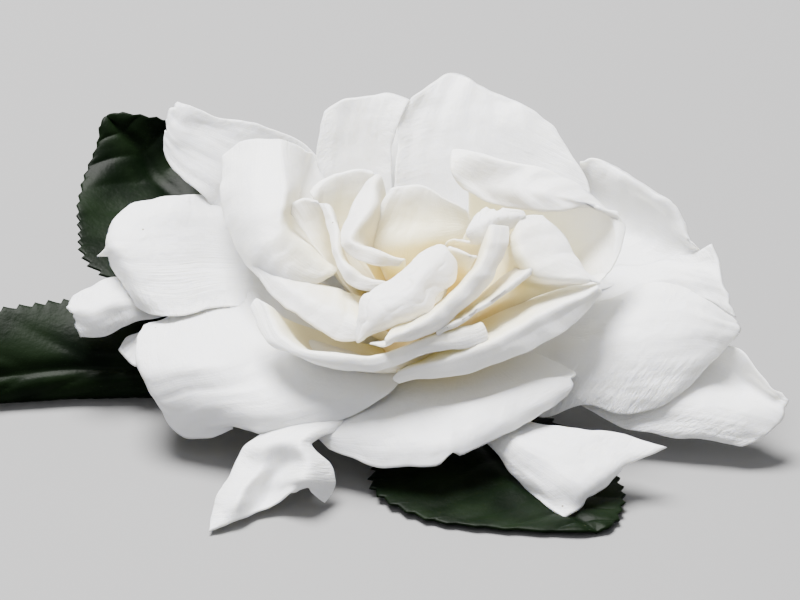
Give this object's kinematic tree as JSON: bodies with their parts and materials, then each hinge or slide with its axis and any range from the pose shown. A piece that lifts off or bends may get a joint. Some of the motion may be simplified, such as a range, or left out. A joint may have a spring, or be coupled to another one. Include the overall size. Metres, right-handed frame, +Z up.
{
  "type": "gardenia flower",
  "caption": "Fully open double gardenia bloom with layered waved petals and a cupped heart, on its calyx and short cut stem with toothed leaves, lying face up.",
  "frame": {"origin": "on the surface it lies on, under the middle of the part's box", "axes": "+X to the right of the bloom as it is looked at from the front, +Y to its back, where the cut stem points, +Z up"},
  "size_m": [0.1294, 0.0812, 0.0362],
  "materials": {
    "petal_white": "matte",
    "stem_green": "matte",
    "leaf_back_left_green": "gloss",
    "leaf_left_green": "gloss",
    "leaf_front_green": "gloss"
  },
  "bodies": {
    "root": {"bloom": "petal_white", "stem": "stem_green", "leaf_back_left": "leaf_back_left_green", "leaf_left": "leaf_left_green", "leaf_front": "leaf_front_green"}
  },
  "joints": []
}
